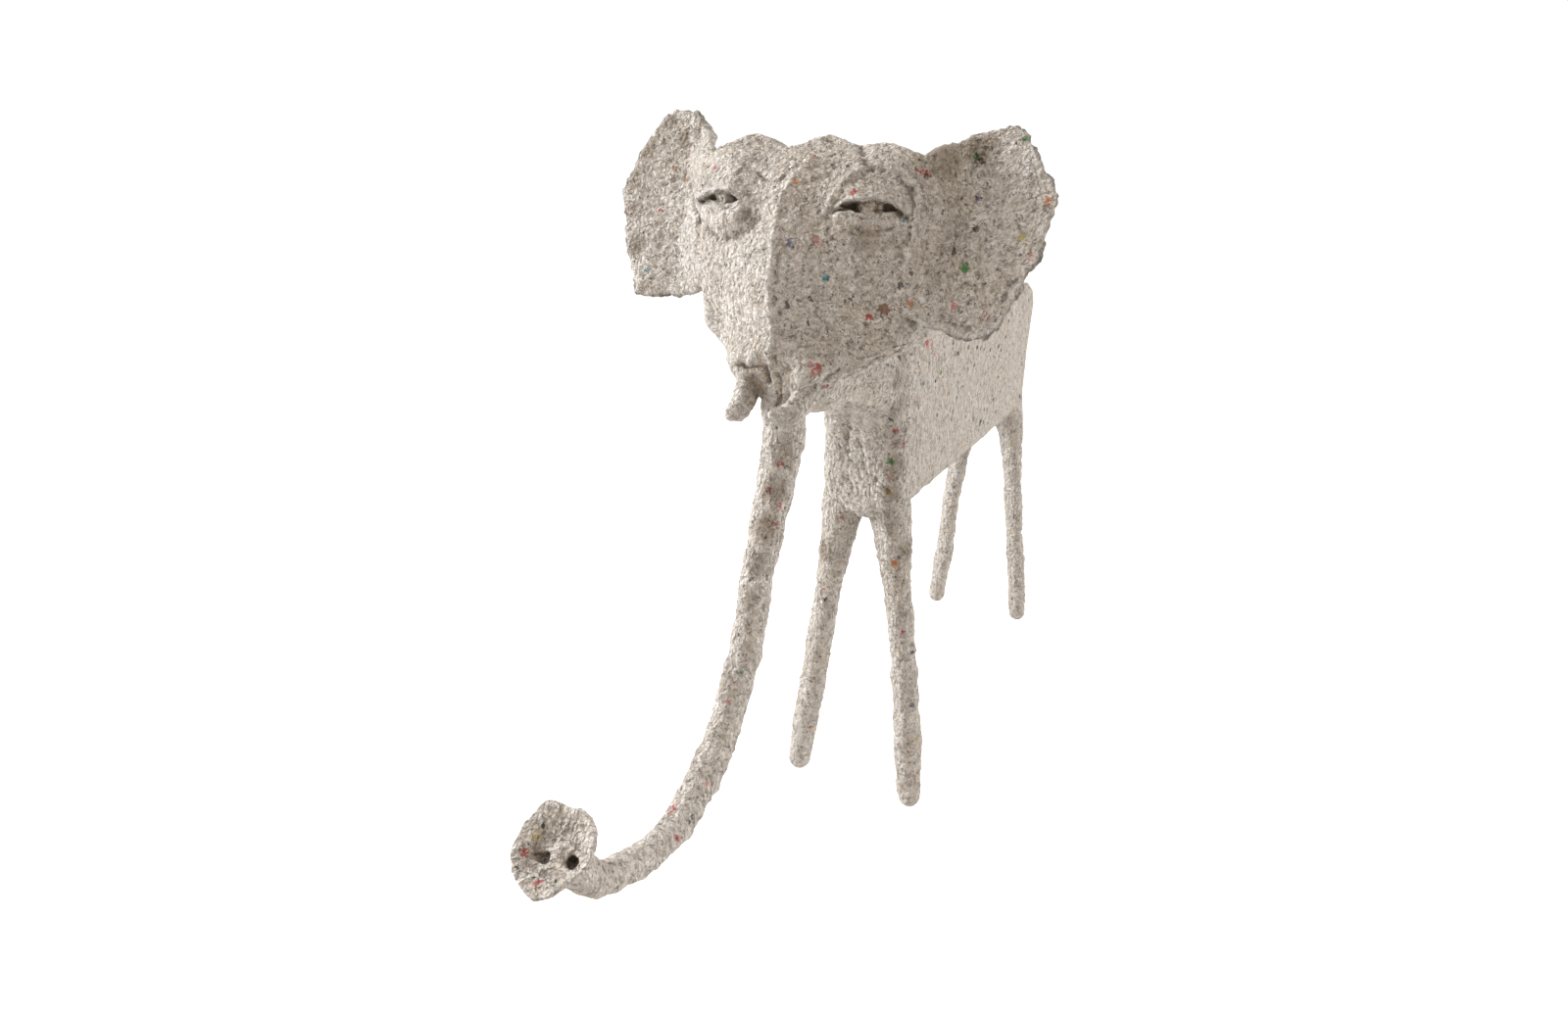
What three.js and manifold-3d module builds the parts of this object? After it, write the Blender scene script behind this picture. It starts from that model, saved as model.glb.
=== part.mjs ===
// A papier-mache elephant, one fused body of moulded paper pulp: a slab-like body on four thin splayed legs,
// a broad mask-like head with cupped ears, and a long trunk that curls up into a disc with two nostrils.
// Millimetres, +Z up. The face looks along -Y and the animal's left side is at +X.
// The form is built with the floor at z = 0 and the front feet near y = 0, and centred at the end.

import * as THREE from 'three';
import { LoftGeometry } from 'three/addons/geometries/LoftGeometry.js';
import { mergeVertices } from 'three/addons/utils/BufferGeometryUtils.js';
import Module from 'manifold-3d';

// Body
const bellyHeight = 277;
const bodyDepth = 150;
const bodyWidth = 70;
const bodyLength = 424;
const bodyEdge = 16;
const chestRound = 13;
const bodySquareness = 8;
const chestSag = 7;
const rumpSlant = 7;

// Legs: the feet stand outside the body by the splay, and each leg swells from the foot to the hip
const frontSplay = 21.5;
const rearSplay = 19.5;
const footRadius = 10.6;
const rearFootRadius = 9.8;
const kneeSwell = 1;
const hipFlare = 5.5;
const hipInset = 15;
const chestOverhang = 10;
const rumpOverhang = 16;
const footFlat = 6;
const legKnobs = 0.5;
const thighSwell = 1.4;
const hipSink = 5;

// Head: heights are measured from the back of the body, depths from the chest
const headWidth = 160;
const crownRise = 126;
const jawDrop = 33;
const faceReach = 148;
const napeReach = 18;
const jawSlope = 0.62;
const ridgeRound = 5;
const sideRoll = 12;
const headTilt = 0.048;
const headTurn = 0.056;
const tiltStart = 200;
const tiltFull = 100;
const crownShoulder = 44;
const crownDomeHeight = 11;
const leftBrowHeight = 7;
const rightBrowHeight = 11;
const browSpread = 45;

// Face: the bulges of the muzzle and the cheeks, and how fast the face falls back from its ridge
const muzzleHeight = 9;
const muzzleSpread = 29;
const tuskBulge = 6;
const cheekHeight = 5;
const cheekSpread = 66;
const lidHeight = 3;
const cheekSlope = 0.66;
const browSlope = 0.4;
const crownSlope = 0.08;

// Eyes
const eyeSpread = 48.5;
const eyeRise = 89;
const eyeballRadius = 8.6;
const eyeHalfWidth = 17.5;
const eyeHalfHeight = 4.2;
const slitDepth = 9;
const lidRoll = 2.6;
const hoodHalfWidth = 27;
const hoodHalfHeight = 33;
const hoodHeight = 7;
const pouchHalfWidth = 22;
const pouchHalfHeight = 16;
const pouchHeight = 5.5;

// Ears: the reach is from the animal's middle plane to the outermost rim
const earReach = 150;
const earRimThickness = 5;
const earRootThickness = 12;
const earSetBack = 66;
const earLean = 0.358;
const earSweep = 0.084;
const earFlow = 0.35;
const earPinch = 0.012;
const earRipple = 1.6;

// Neck, tusks and tail
const neckWidth = 66;
const neckDrop = 94;
const tuskSpread = 19;
const tuskLength = 41;
const tuskRadius = 7.2;
const tailLength = 96;
const tailRadius = 5;

// Trunk: named places along its curve, in the animal's middle plane
const trunkTopRadius = 13;
const trunkRadius = 10.6;
const trunkTipRadius = 9.4;
const trunkLowHeight = 165;
const trunkReach = 361;
const tipRise = 57;
const tipPitch = THREE.MathUtils.degToRad(56.3);
const discRadius = 22.5;
const discCup = 4;
const discThickness = 4.5;
const collarRadius = 9.5;
const nostrilRadius = 3.4;
const nostrilSpread = 9.9;
const nostrilDepth = 10;

const backHeight = bellyHeight + bodyDepth;
const chestY = -chestOverhang;
const rumpY = chestY + bodyLength;
const halfBody = bodyWidth / 2;
const halfHead = headWidth / 2;
const crownZ = backHeight + crownRise;
const jawZ = backHeight - jawDrop;
const eyeZ = backHeight + eyeRise;
const faceY = chestY - faceReach;

const wasm = await Module();
wasm.setup();

// A closed geometry as a solid that can be joined and cut
function solid(geometry) {
  const bare = geometry.index ? geometry.toNonIndexed() : geometry.clone();
  bare.deleteAttribute('normal');
  bare.deleteAttribute('uv');
  const merged = mergeVertices(bare, 1e-4);
  const vertProperties = new Float32Array(merged.attributes.position.array);
  const triVerts = new Uint32Array(merged.index.array);
  return new wasm.Manifold(new wasm.Mesh({ numProp: 3, vertProperties, triVerts }));
}

function loft(sections) {
  return new LoftGeometry(sections, { capStart: true, capEnd: true });
}

const mix = THREE.MathUtils.lerp;
const smooth = THREE.MathUtils.smoothstep;
const bell = (distance, width) => Math.exp(-((distance / width) ** 2));

// A smooth curve through [parameter, value] pairs, read at any parameter between the first and the last
function profile(pairs) {
  const places = pairs.map(([at, value]) => new THREE.Vector3(at, value, 0));
  const curve = new THREE.CatmullRomCurve3(places, false, 'centripetal');
  const samples = curve.getPoints(pairs.length * 12);
  return (at) => {
    const next = samples.findIndex((point) => point.x > at);
    if (next === -1) return samples[samples.length - 1].y;
    if (next === 0) return samples[0].y;
    const a = samples[next - 1];
    const b = samples[next];
    return mix(a.y, b.y, (at - a.x) / (b.x - a.x));
  };
}

function superOval(angle, power) {
  const flatten = (share) => Math.sign(share) * Math.abs(share) ** (2 / power);
  return [flatten(Math.cos(angle)), flatten(Math.sin(angle))];
}

// A closed form grown from one pole through rings to the other pole. Each ring is [reach, through], and the
// first and the last have no reach. Spokes run counterclockwise as seen from outside the first pole
function pod(spokes, rings, place) {
  const geometry = new THREE.SphereGeometry(1, spokes, rings.length - 1);
  const positions = geometry.attributes.position;
  for (let i = 0; i < positions.count; i++) {
    const spoke = (i % (spokes + 1)) % spokes;
    const [reach, through] = rings[Math.floor(i / (spokes + 1))];
    const point = place(reach === 0 ? 0 : spoke, reach, through);
    positions.setXYZ(i, point.x, point.y, point.z);
  }
  return geometry;
}

// A round-ended limb along a curve; radii are spread evenly over its length
function limb(points, radii, { steps = 16, sides = 12, shape = () => 1 } = {}) {
  const places = points.map((point) => new THREE.Vector3(...point));
  const curve = new THREE.CatmullRomCurve3(places, false, 'centripetal');
  const frames = curve.computeFrenetFrames(steps);
  const radiusAt = profile(radii.map((radius, i) => [i / (radii.length - 1), radius]));
  const sections = [];
  for (let i = 0; i <= steps; i++) {
    const t = i / steps;
    const centre = curve.getPointAt(t);
    const section = [];
    for (let j = 0; j < sides; j++) {
      const angle = (j / sides) * Math.PI * 2;
      const radius = radiusAt(t) * shape(t, angle);
      section.push(centre.clone()
        .addScaledVector(frames.normals[i], Math.cos(angle) * radius)
        .addScaledVector(frames.binormals[i], Math.sin(angle) * radius));
    }
    sections.push(section);
  }
  return loft(sections);
}

function ball(centre, radii, turn = 0, segments = 18) {
  const geometry = new THREE.SphereGeometry(1, segments, Math.round(segments * 0.6));
  geometry.scale(...radii);
  geometry.rotateZ(turn);
  geometry.translate(...centre);
  return geometry;
}

// The body is a long slab with soft edges, closed at the chest and the rump
function makeBody() {
  const ends = [0, 0.12, 0.38, 1];
  const stations = [
    ...ends.map((e) => [chestY + e * bodyEdge, e]),
    [mix(chestY, rumpY, 0.3), 1],
    [mix(chestY, rumpY, 0.65), 1],
    ...ends.toReversed().map((e) => [rumpY - e * bodyEdge, e]),
  ];
  const sides = 28;
  const middleZ = bellyHeight + bodyDepth / 2;
  return loft(stations.map(([y, e]) => {
    const share = 1 - Math.sqrt(1 - (1 - e) ** 2);
    const inset = share * bodyEdge * 0.5;
    const sideInset = y < 0.2 * rumpY ? share * chestRound : inset;
    return Array.from({ length: sides }, (_, j) => {
      const [up, out] = superOval((j / sides) * Math.PI * 2, bodySquareness);
      const slant = y > 0 ? rumpSlant * up * (y / rumpY) ** 4 : 0;
      const z = middleZ + up * (bodyDepth / 2 - inset);
      return new THREE.Vector3(out * (halfBody - sideInset), y + slant, z);
    });
  }));
}

// Between the legs of a pair the pulp hangs a little below the belly and arches from one hip to the other
function makeArch(y) {
  return ball([1, y, bellyHeight + chestSag], [halfBody * 0.85, hipInset + 1, chestSag * 2.2], 0, 12);
}

// A leg is a stack of level rings from its flat foot up into the body, with a few pulp knobs
function makeLeg({ side, inset, hipY, footX, footY, radius, bow, phase }) {
  const hipX = side * (halfBody - inset);
  const foot = [0, 0.006, 0.02, 0.05];
  const shin = [0.13, 0.23, 0.34, 0.45];
  const thigh = [0.56, 0.67, 0.77, 0.86, 0.94, 1, 1.06, 1.11];
  const sides = 12;
  return loft([...foot, ...shin, ...thigh].map((h) => {
    const lean = Math.max(1 - h ** bow, 0);
    const centreX = mix(hipX, footX, lean);
    const centreY = mix(hipY, footY, Math.max(1 - h, 0));
    const sink = hipSink * smooth(h, 1, 1.11);
    const flare = hipFlare * smooth(h, 0.66, 1) ** 1.7;
    const body = radius + kneeSwell * bell(h - 0.27, 0.14) + thighSwell * h + flare - sink;
    const toe = h < 0.05 ? mix(footFlat, radius, Math.sqrt(1 - (1 - h / 0.05) ** 2)) / radius : 1;
    const knob = h > 0.05 ? legKnobs * Math.sin(h * 31 + phase) : 0;
    return Array.from({ length: sides }, (_, j) => {
      const angle = (j / sides) * Math.PI * 2;
      const reach = (body + knob) * toe;
      const x = centreX + Math.cos(angle) * reach;
      const y = centreY + Math.sin(angle) * reach;
      return new THREE.Vector3(x, y, h * bellyHeight);
    });
  }));
}

// The ridge down the middle of the face, as a depth behind the face's foremost line at each height
const ridgeDepth = profile([
  [jawZ - 6, 9],
  [jawZ + 21, 4.5],
  [jawZ + 44, 0],
  [jawZ + 72, 0.5],
  [jawZ + 99, 8.5],
  [jawZ + 126, 20.5],
  [jawZ + 146, 38.5],
  [crownZ, 65],
]);

// How fast the face falls back from its ridge: steep at the cheeks, shallow at the brows
function faceSlope(z) {
  const low = mix(cheekSlope, browSlope, smooth(z, jawZ + 45, jawZ + 105));
  return mix(low, crownSlope, smooth(z, eyeZ + 8, crownZ));
}

// A low dome on the face, 1 at its middle and 0 at its border
function dome(across, up, halfWidth, halfHeight) {
  return Math.max(0, 1 - (across / halfWidth) ** 2 - (up / halfHeight) ** 2) ** 0.75;
}

// The face's surface at a place across and up the face, carried on sideways past the head's own edge
function cheekAt(across, z) {
  const x = Math.abs(across);
  const fall = faceSlope(z) * (Math.hypot(x, ridgeRound) - ridgeRound);
  const muzzle = muzzleHeight * bell(x - muzzleSpread, 16) * bell(z - jawZ - 18, 17);
  const tuskRoot = tuskBulge * bell(x - muzzleSpread + 3, 11) * bell(z - jawZ - 26, 12);
  const lid = lidHeight * bell(x - eyeSpread, 20) * bell(z - eyeZ - 9, 13);
  const hood = hoodHeight * dome(x - eyeSpread, z - eyeZ - 4, hoodHalfWidth, hoodHalfHeight);
  const pouch = pouchHeight * dome(x - eyeSpread + 2, z - eyeZ + 8, pouchHalfWidth, pouchHalfHeight);
  const eyeForm = z > eyeZ ? hood : Math.max(pouch, hood * 0.6);
  const cheek = cheekHeight * bell(x - cheekSpread, 13) * bell(z - jawZ - 48, 16);
  return faceY + ridgeDepth(z) + fall - muzzle - tuskRoot - lid - eyeForm - cheek;
}

// The front of the head, which rolls back at its sides into the ears
function faceAt(across, z) {
  return cheekAt(across, z) + sideRoll * smooth(Math.abs(across), halfHead - 14, halfHead);
}

// The top of the head: a dome over each brow and one between them, which fade out over the plain back
function crownAt(across, plainness) {
  const x = Math.abs(across);
  const browDome = (across < 0 ? rightBrowHeight : leftBrowHeight) * bell(x - browSpread, 19);
  const crownDome = crownDomeHeight * bell(across - 6, 17);
  const shoulder = crownShoulder * smooth(x, halfHead - 16, halfHead + 6) ** 1.3;
  return crownZ - 8 + mix(browDome + crownDome, crownDomeHeight / 3, plainness) - shoulder;
}

function jawAt(across) {
  return jawZ + jawSlope * Math.max(Math.abs(across) - 6, 0);
}

// The head is lofted across its width from upright sections: the face in front, a plain round skull behind
function makeHead() {
  const frontSteps = 21;
  const backSteps = 9;
  const stations = 30;
  const napeY = chestY - napeReach;
  const sections = [];
  for (let i = 0; i <= stations; i++) {
    const turn = Math.PI * (i / stations - 0.5);
    const x = mix(Math.sin(turn), i / (stations / 2) - 1, 0.75) * halfHead;
    const edge = Math.sqrt(1 - (x / (halfHead + 6)) ** 2);
    const top = crownAt(x, 0);
    const bottom = jawAt(x);
    const section = [];
    for (let k = 0; k <= frontSteps; k++) {
      const z = mix(top, bottom, (1 - Math.cos((Math.PI * k) / frontSteps)) / 2);
      const round = 5 * (1 - Math.sqrt(1 - Math.max(0, 1 - (z - bottom) / 9) ** 2));
      section.push(new THREE.Vector3(x, faceAt(x, z) + round, z));
    }
    const frontTop = section[0].y;
    const frontBottom = section[frontSteps].y;
    const backY = mix(frontTop + 16, napeY, edge);
    for (let k = 1; k < backSteps; k++) {
      const angle = Math.PI * (k / backSteps - 0.5);
      const [back, up] = superOval(angle, 2.5);
      const startY = mix(frontBottom, frontTop, (1 + up) / 2);
      const backTop = crownAt(x, smooth(back, 0.35, 1));
      section.push(new THREE.Vector3(x, mix(startY, backY, back), mix(bottom, backTop, (1 + up) / 2)));
    }
    sections.push(section);
  }
  return loft(sections);
}

// Ear outlines as [out from the middle, above the eyes], both as shares of the ear's reach, from the brow
// round the outer rim to the jaw
const leftEarOutline = [
  [0.4, 0.16], [0.48, 0.193], [0.573, 0.253], [0.68, 0.3], [0.793, 0.307],
  [0.893, 0.207], [0.98, 0.04], [0.96, -0.107], [0.913, -0.227], [0.88, -0.333],
  [0.807, -0.447], [0.68, -0.473], [0.54, -0.44], [0.427, -0.36], [0.373, -0.067],
];
const rightEarOutline = [
  [0.4, 0.16], [0.507, 0.207], [0.607, 0.287], [0.76, 0.38], [0.84, 0.313],
  [0.933, 0.193], [1, 0], [0.953, -0.187], [0.9, -0.333], [0.82, -0.447],
  [0.707, -0.433], [0.547, -0.42], [0.44, -0.347], [0.387, -0.2], [0.373, 0],
];

// The ear's front: a leaning plane that flows out of the face's side, so that the ear is cupped. The ear's
// root sinks into the head
function earAt(out, z) {
  const plane = faceY + earSetBack - earSweep * (out - earReach) + earLean * (z - eyeZ);
  const faceSide = halfHead - 6;
  const side = cheekAt(Math.min(out, faceSide), z) + earFlow * Math.max(out - faceSide, 0);
  const sunk = earRootThickness * 0.7 * (1 - smooth(out, halfHead - 24, halfHead - 11));
  return mix(side, plane, smooth(out, faceSide, faceSide + 32)) + sunk - 0.6;
}

// An ear is a plate grown from its middle out to a pinched rim and back, so both faces are closed
function makeEar(side, outline, phase) {
  const spokes = 34;
  const middle = new THREE.Vector2(earReach * 0.65, eyeZ - 8);
  const corners = outline.map(([out, up]) => new THREE.Vector3(out * earReach, eyeZ + up * earReach, 0));
  const curve = new THREE.CatmullRomCurve3(corners, true, 'centripetal');
  const rim = curve.getSpacedPoints(spokes).slice(0, spokes).map((point, i) => {
    const pinch = 1 + earPinch * (Math.sin(i * 2.4 + phase) + 0.8 * Math.sin(i * 1.3 + phase * 2));
    const free = smooth(point.x, 70, 90);
    return new THREE.Vector2(point.x, point.y).sub(middle).multiplyScalar(mix(1, pinch, free)).add(middle);
  });
  const order = side > 0 ? rim.toReversed() : rim;
  const rings = [
    [0, 0], [0.33, 0], [0.62, 0], [0.86, 0], [0.98, 0.12],
    [1, 0.55], [0.97, 0.9], [0.8, 1], [0.4, 1], [0, 1],
  ];
  return pod(spokes, rings, (spoke, reach, through) => {
    const place = order[spoke].clone().sub(middle).multiplyScalar(reach).add(middle);
    const thickness = mix(earRootThickness, earRimThickness, smooth(place.x, 80, 125));
    const free = smooth(reach, 0.7, 1) * smooth(place.x, 80, 100);
    const ripple = earRipple * Math.sin(spoke * 1.7 + phase) * free;
    const depth = earAt(place.x, place.y) + ripple + through * thickness;
    return new THREE.Vector3(side * place.x, depth, place.y);
  });
}

// The neck is a thick oval bar from inside the body into the skull; its throat curves up out of the chest
function makeNeck() {
  const sides = 16;
  const throat = [
    [70, -20], [8, -24], [1, -10], [-3, 4], [-8, 16], [-17, 28],
    [-32, 37], [-55, 43], [-86, 47], [-98, 52], [-108, 64],
  ];
  const top = backHeight - 6;
  return loft(throat.toReversed().map(([ahead, lift]) => {
    const highZ = top + Math.max(-ahead, 0) * 0.6;
    const lowZ = backHeight - neckDrop + lift;
    const middleZ = (highZ + lowZ) / 2;
    const half = (highZ - lowZ) / 2;
    const halfWidth = (neckWidth / 2) * mix(1, 0.64, smooth(-ahead, 0, 60));
    return Array.from({ length: sides }, (_, j) => {
      const [up, out] = superOval((j / sides) * Math.PI * 2, 2.8);
      return new THREE.Vector3(out * halfWidth, chestY + ahead, middleZ + up * half);
    });
  }));
}

// A rolled ridge of pulp laid on the face along places given as [across, up] from the eye's middle
function faceRoll(side, places, radius, sunk, steps) {
  const points = places.map(([across, up]) => {
    const x = eyeSpread + across;
    const z = eyeZ + up;
    return [side * x, faceAt(x, z) + sunk, z];
  });
  return limb(points, [0.45, 0.9, 1, 0.9, 0.45].map((f) => f * radius), { steps, sides: 6 });
}

// An eye: a low almond hollow between the hood above and the pouch below, a ball in it and a rolled lower lid
function makeEye(side) {
  const front = faceAt(eyeSpread, eyeZ);
  const turn = side * 0.38;
  const slit = [eyeHalfWidth, slitDepth, eyeHalfHeight];
  const hollow = ball([side * (eyeSpread + 0.8), front + 1, eyeZ], slit, turn, 14);
  const eyeballPlace = [side * (eyeSpread - 1), front + eyeballRadius * 0.9, eyeZ];
  const eyeball = ball(eyeballPlace, [eyeballRadius, eyeballRadius, eyeballRadius], 0, 12);
  const reach = eyeHalfWidth + 1;
  const lid = eyeHalfHeight;
  const bend = reach * 0.55;
  const lower = [[-reach, 0], [-bend, -lid * 0.8], [0, -lid - 1], [bend, -lid * 0.85], [reach, -1]];
  return { hollow, parts: [eyeball, faceRoll(side, lower, lidRoll, 1, 9)] };
}

// A tusk is a short horn that leaves the muzzle beside the trunk and curves down and forward
function makeTusk(side, lift) {
  const rootZ = jawZ + 27;
  const rootY = faceY + 22;
  const points = [
    [side * (tuskSpread + 2), rootY, rootZ],
    [side * (tuskSpread + 1), rootY - tuskLength * 0.3, rootZ - tuskLength * 0.42],
    [side * tuskSpread * 0.92, rootY - tuskLength * 0.66, rootZ - tuskLength * 0.66 + lift / 2],
    [side * tuskSpread * 0.76, rootY - tuskLength * 1.06, rootZ - tuskLength * 0.66 + lift],
  ];
  return limb(points, [1.35, 1.2, 0.98, 0.8, 0.35].map((f) => f * tuskRadius), { steps: 10, sides: 10 });
}

// A small lower lip behind the trunk's root
function makeLip() {
  return ball([0, faceY + 28, jawZ - 2], [15, 17, 9], 0, 12);
}

function makeTail() {
  const rootZ = backHeight - 24;
  const points = [
    [0, rumpY - 8, rootZ],
    [2, rumpY + tailRadius * 0.8, rootZ - 14],
    [3, rumpY + tailRadius * 0.5, rootZ - tailLength * 0.55],
    [1, rumpY + tailRadius * 0.7, rootZ - tailLength],
  ];
  return limb(points, [1.3, 1, 0.85, 0.8, 1.1, 0.5].map((f) => f * tailRadius), { steps: 9, sides: 8 });
}

// The trunk's middle line runs down from the muzzle, forward near the floor and up to the disc
const trunkTopY = faceY + 22;
const trunkTopZ = jawZ - 8;
const tipDirection = new THREE.Vector3(0, -Math.cos(tipPitch), Math.sin(tipPitch));
const tipCentre = new THREE.Vector3(0, chestY - trunkReach, trunkLowHeight + tipRise);

function trunkPath() {
  const drop = trunkTopZ - trunkLowHeight;
  const reach = trunkTopY - tipCentre.y;
  const shares = [
    [0, 0.085], [0.013, -0.085], [0.06, -0.21], [0.106, -0.344], [0.151, -0.484], [0.2, -0.62],
    [0.281, -0.75], [0.362, -0.872], [0.485, -0.965], [0.596, -1.005], [0.706, -1.003], [0.82, -0.965],
    [0.898, -0.915],
  ];
  const points = shares.map(([forward, down]) => [0, trunkTopY - forward * reach, trunkTopZ + down * drop]);
  const collar = tipCentre.clone().addScaledVector(tipDirection, -discCup - 5);
  return [...points, collar.toArray()];
}

// The disc's ragged rim as a share of its radius, by the angle in half turns from the animal's left: the rim
// reaches furthest at the upper right, is notched at the top and pinched in at the lower left
const rimShape = profile([
  [-1, 1.11], [-0.83, 1.07], [-0.64, 0.97], [-0.44, 1.05], [-0.22, 0.83], [0, 0.96],
  [0.25, 1.02], [0.47, 1.02], [0.54, 0.97], [0.64, 1.1], [0.76, 1.22], [0.89, 1.12], [1, 1.11],
]);

function makeTrunk() {
  const stem = limb(trunkPath(), [
    trunkTopRadius * 1.15, trunkTopRadius, trunkRadius * 1.1, trunkRadius, trunkRadius,
    trunkRadius, trunkRadius * 0.98, trunkTipRadius * 0.97, trunkTipRadius * 1.03, trunkTipRadius * 1.2,
  ], { steps: 32, sides: 12, shape: (t, angle) => 1 + 0.04 * Math.sin(t * 70 + angle) });

  const across = new THREE.Vector3(1, 0, 0);
  const up = new THREE.Vector3(0, tipDirection.z, -tipDirection.y);
  const spokes = 30;
  const rings = [
    [0, -discCup], [0.5, -discCup], [0.8, -0.5], [0.96, 1], [1, -1],
    [0.93, 1.5 - discThickness], [0.72, -discCup - 2], [0.56, -discCup - 7],
    [collarRadius / discRadius, -discCup - 14], [0, -discCup - 14],
  ];
  const disc = pod(spokes, rings, (spoke, share, along) => {
    const angle = (spoke / spokes) * Math.PI * 2;
    const halfTurns = (spoke / spokes) * 2;
    const ragged = mix(1, rimShape(halfTurns > 1 ? halfTurns - 2 : halfTurns), smooth(share, 0.45, 0.9));
    const radius = discRadius * share * ragged;
    return tipCentre.clone()
      .addScaledVector(tipDirection, along)
      .addScaledVector(across, Math.cos(angle) * radius)
      .addScaledVector(up, Math.sin(angle) * radius);
  });
  const nostrils = [[-0.87, -3.5], [1.12, -0.2]].map(([share, rise]) => {
    const mouth = tipCentre.clone().addScaledVector(across, share * nostrilSpread).addScaledVector(up, rise);
    const inward = [4, -0.35 * nostrilDepth, -nostrilDepth].map((along, i) => mouth.clone()
      .addScaledVector(tipDirection, along)
      .addScaledVector(across, -Math.sign(share) * i * 1.5).toArray());
    return limb(inward, [1.25, 1, 0.8].map((f) => f * nostrilRadius), { steps: 4, sides: 10 });
  });
  return nostrils.reduce((body, hole) => body.subtract(solid(hole)), solid(stem).add(solid(disc)));
}

// The head leans a little to the animal's left and turns a little to it, as the hand-made piece does
function setHead(geometry) {
  const positions = geometry.attributes.position;
  for (let i = 0; i < positions.count; i++) {
    const x = positions.getX(i);
    const z = positions.getZ(i);
    positions.setY(i, positions.getY(i) + headTurn * x);
    positions.setZ(i, z - headTilt * x * smooth(z, eyeZ - tiltStart, eyeZ - tiltFull));
  }
  return solid(geometry);
}

function makeElephant() {
  const frontX = halfBody + frontSplay;
  const rearX = halfBody + rearSplay;
  const frontY = chestY + 6;
  const rearY = rumpY - rumpOverhang;
  const front = { footY: frontY, radius: footRadius, inset: hipInset };
  const rear = { footY: rearY, radius: rearFootRadius, inset: hipInset - 3 };
  const legs = [
    { ...front, side: 1, hipY: chestY + 20, footX: frontX + 1, bow: 1.32, phase: 0 },
    { ...front, side: -1, hipY: chestY + 18, footX: 1 - frontX, bow: 1.16, phase: 2 },
    { ...rear, side: 1, hipY: rearY - 8, footX: rearX + 3, bow: 1.25, phase: 4 },
    { ...rear, side: -1, hipY: rearY - 20, footX: 2 - rearX, bow: 1.3, phase: 1 },
  ].map(makeLeg);
  const eyes = [makeEye(1), makeEye(-1)];
  const carved = eyes.reduce((head, eye) => head.subtract(setHead(eye.hollow)), setHead(makeHead()));
  const headParts = [
    ...eyes.flatMap((eye) => eye.parts),
    makeEar(1, leftEarOutline, 0.6),
    makeEar(-1, rightEarOutline, 2.1),
    makeTusk(1, 5),
    makeTusk(-1, 0),
    makeLip(),
  ].map(setHead);
  const arches = [makeArch(chestY + 15), makeArch(rearY - 10)];
  const bodyParts = [makeBody(), ...legs, ...arches, makeNeck(), makeTail()].map(solid);
  return [...bodyParts, carved, ...headParts, makeTrunk()].reduce((whole, part) => whole.add(part));
}

function toGeometry(whole) {
  const { vertProperties, triVerts, numProp } = whole.getMesh();
  const geometry = new THREE.BufferGeometry();
  const positions = new Float32Array((vertProperties.length / numProp) * 3);
  for (let i = 0; i < positions.length / 3; i++) {
    for (let axis = 0; axis < 3; axis++) positions[i * 3 + axis] = vertProperties[i * numProp + axis];
  }
  geometry.setAttribute('position', new THREE.BufferAttribute(positions, 3));
  geometry.setIndex(new THREE.BufferAttribute(new Uint32Array(triVerts), 1));
  geometry.computeBoundingBox();
  const middle = geometry.boundingBox.getCenter(new THREE.Vector3());
  geometry.translate(-middle.x, -middle.y, 0);
  geometry.computeVertexNormals();
  return geometry;
}

const paperPulp = new THREE.MeshStandardMaterial({ color: 0xc2b8ad, roughness: 0.97, metalness: 0 });
const elephant = new THREE.Mesh(toGeometry(makeElephant()), paperPulp);
elephant.name = 'papier_mache_elephant';

const group = new THREE.Group();
group.add(elephant);

export default group;
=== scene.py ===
"""Looks of a papier-mache elephant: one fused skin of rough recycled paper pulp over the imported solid.

Metres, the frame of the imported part. The skin is the solid remeshed finely, smoothed, then shaped by
hand-made marks: brows, lids, creases, pinched rims and crumpled pulp. The pulp's material, the floor and
the lights follow.
"""

import math

import bpy
import numpy as np
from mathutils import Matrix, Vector
from mathutils.bvhtree import BVHTree


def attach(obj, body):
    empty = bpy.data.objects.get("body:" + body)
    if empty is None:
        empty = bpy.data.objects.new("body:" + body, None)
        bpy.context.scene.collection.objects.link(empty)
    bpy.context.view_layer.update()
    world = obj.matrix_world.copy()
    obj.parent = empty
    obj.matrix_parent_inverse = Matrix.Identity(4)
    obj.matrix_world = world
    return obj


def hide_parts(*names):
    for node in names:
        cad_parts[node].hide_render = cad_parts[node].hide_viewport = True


NODE = "papier_mache_elephant"
MM = 0.001

# Camera, as recovered from the photograph
IMAGE_WIDTH = 1600
IMAGE_HEIGHT = 1036
FOCAL_PIXELS = 836
SENSOR_MM = 36
CAMERA_PLACE = (0.25026, -0.60868, 0.520)
CAMERA_PITCH = math.radians(20.8)
CAMERA_YAW = math.radians(28.6)

# Skin
VOXEL = 1.1 * MM
SMOOTH_ROUNDS = 40
FACE_LIMIT = 194000
DETAIL_PULL = 2.0

# Regions of the figure. Each pair is where a region starts and where it is full, or for a region that
# ends there, where it starts to fade and where it is gone. HEIGHT is above the floor, BACK and FRONT are
# along the body with the rump's end positive, AHEAD is in front of the middle, SIDE is off the middle.
LEG_HEIGHT = (0.25, 0.29)
TRUNK_AHEAD = (0.12, 0.16)
TRUNK_HEIGHT = (0.37, 0.39)
DISC_AHEAD = (0.335, 0.355)
FACE_HEIGHT = (0.375, 0.395)
FACE_BACK = (-0.060, -0.045)
BODY_FRONT = (0.0, 0.03)
BODY_HEIGHT = (0.27, 0.29)
EAR_SIDE = (0.082, 0.096)
EAR_HEIGHT = (0.42, 0.44)
FLOOR_HEIGHT = (0.0, 0.008)

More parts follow.
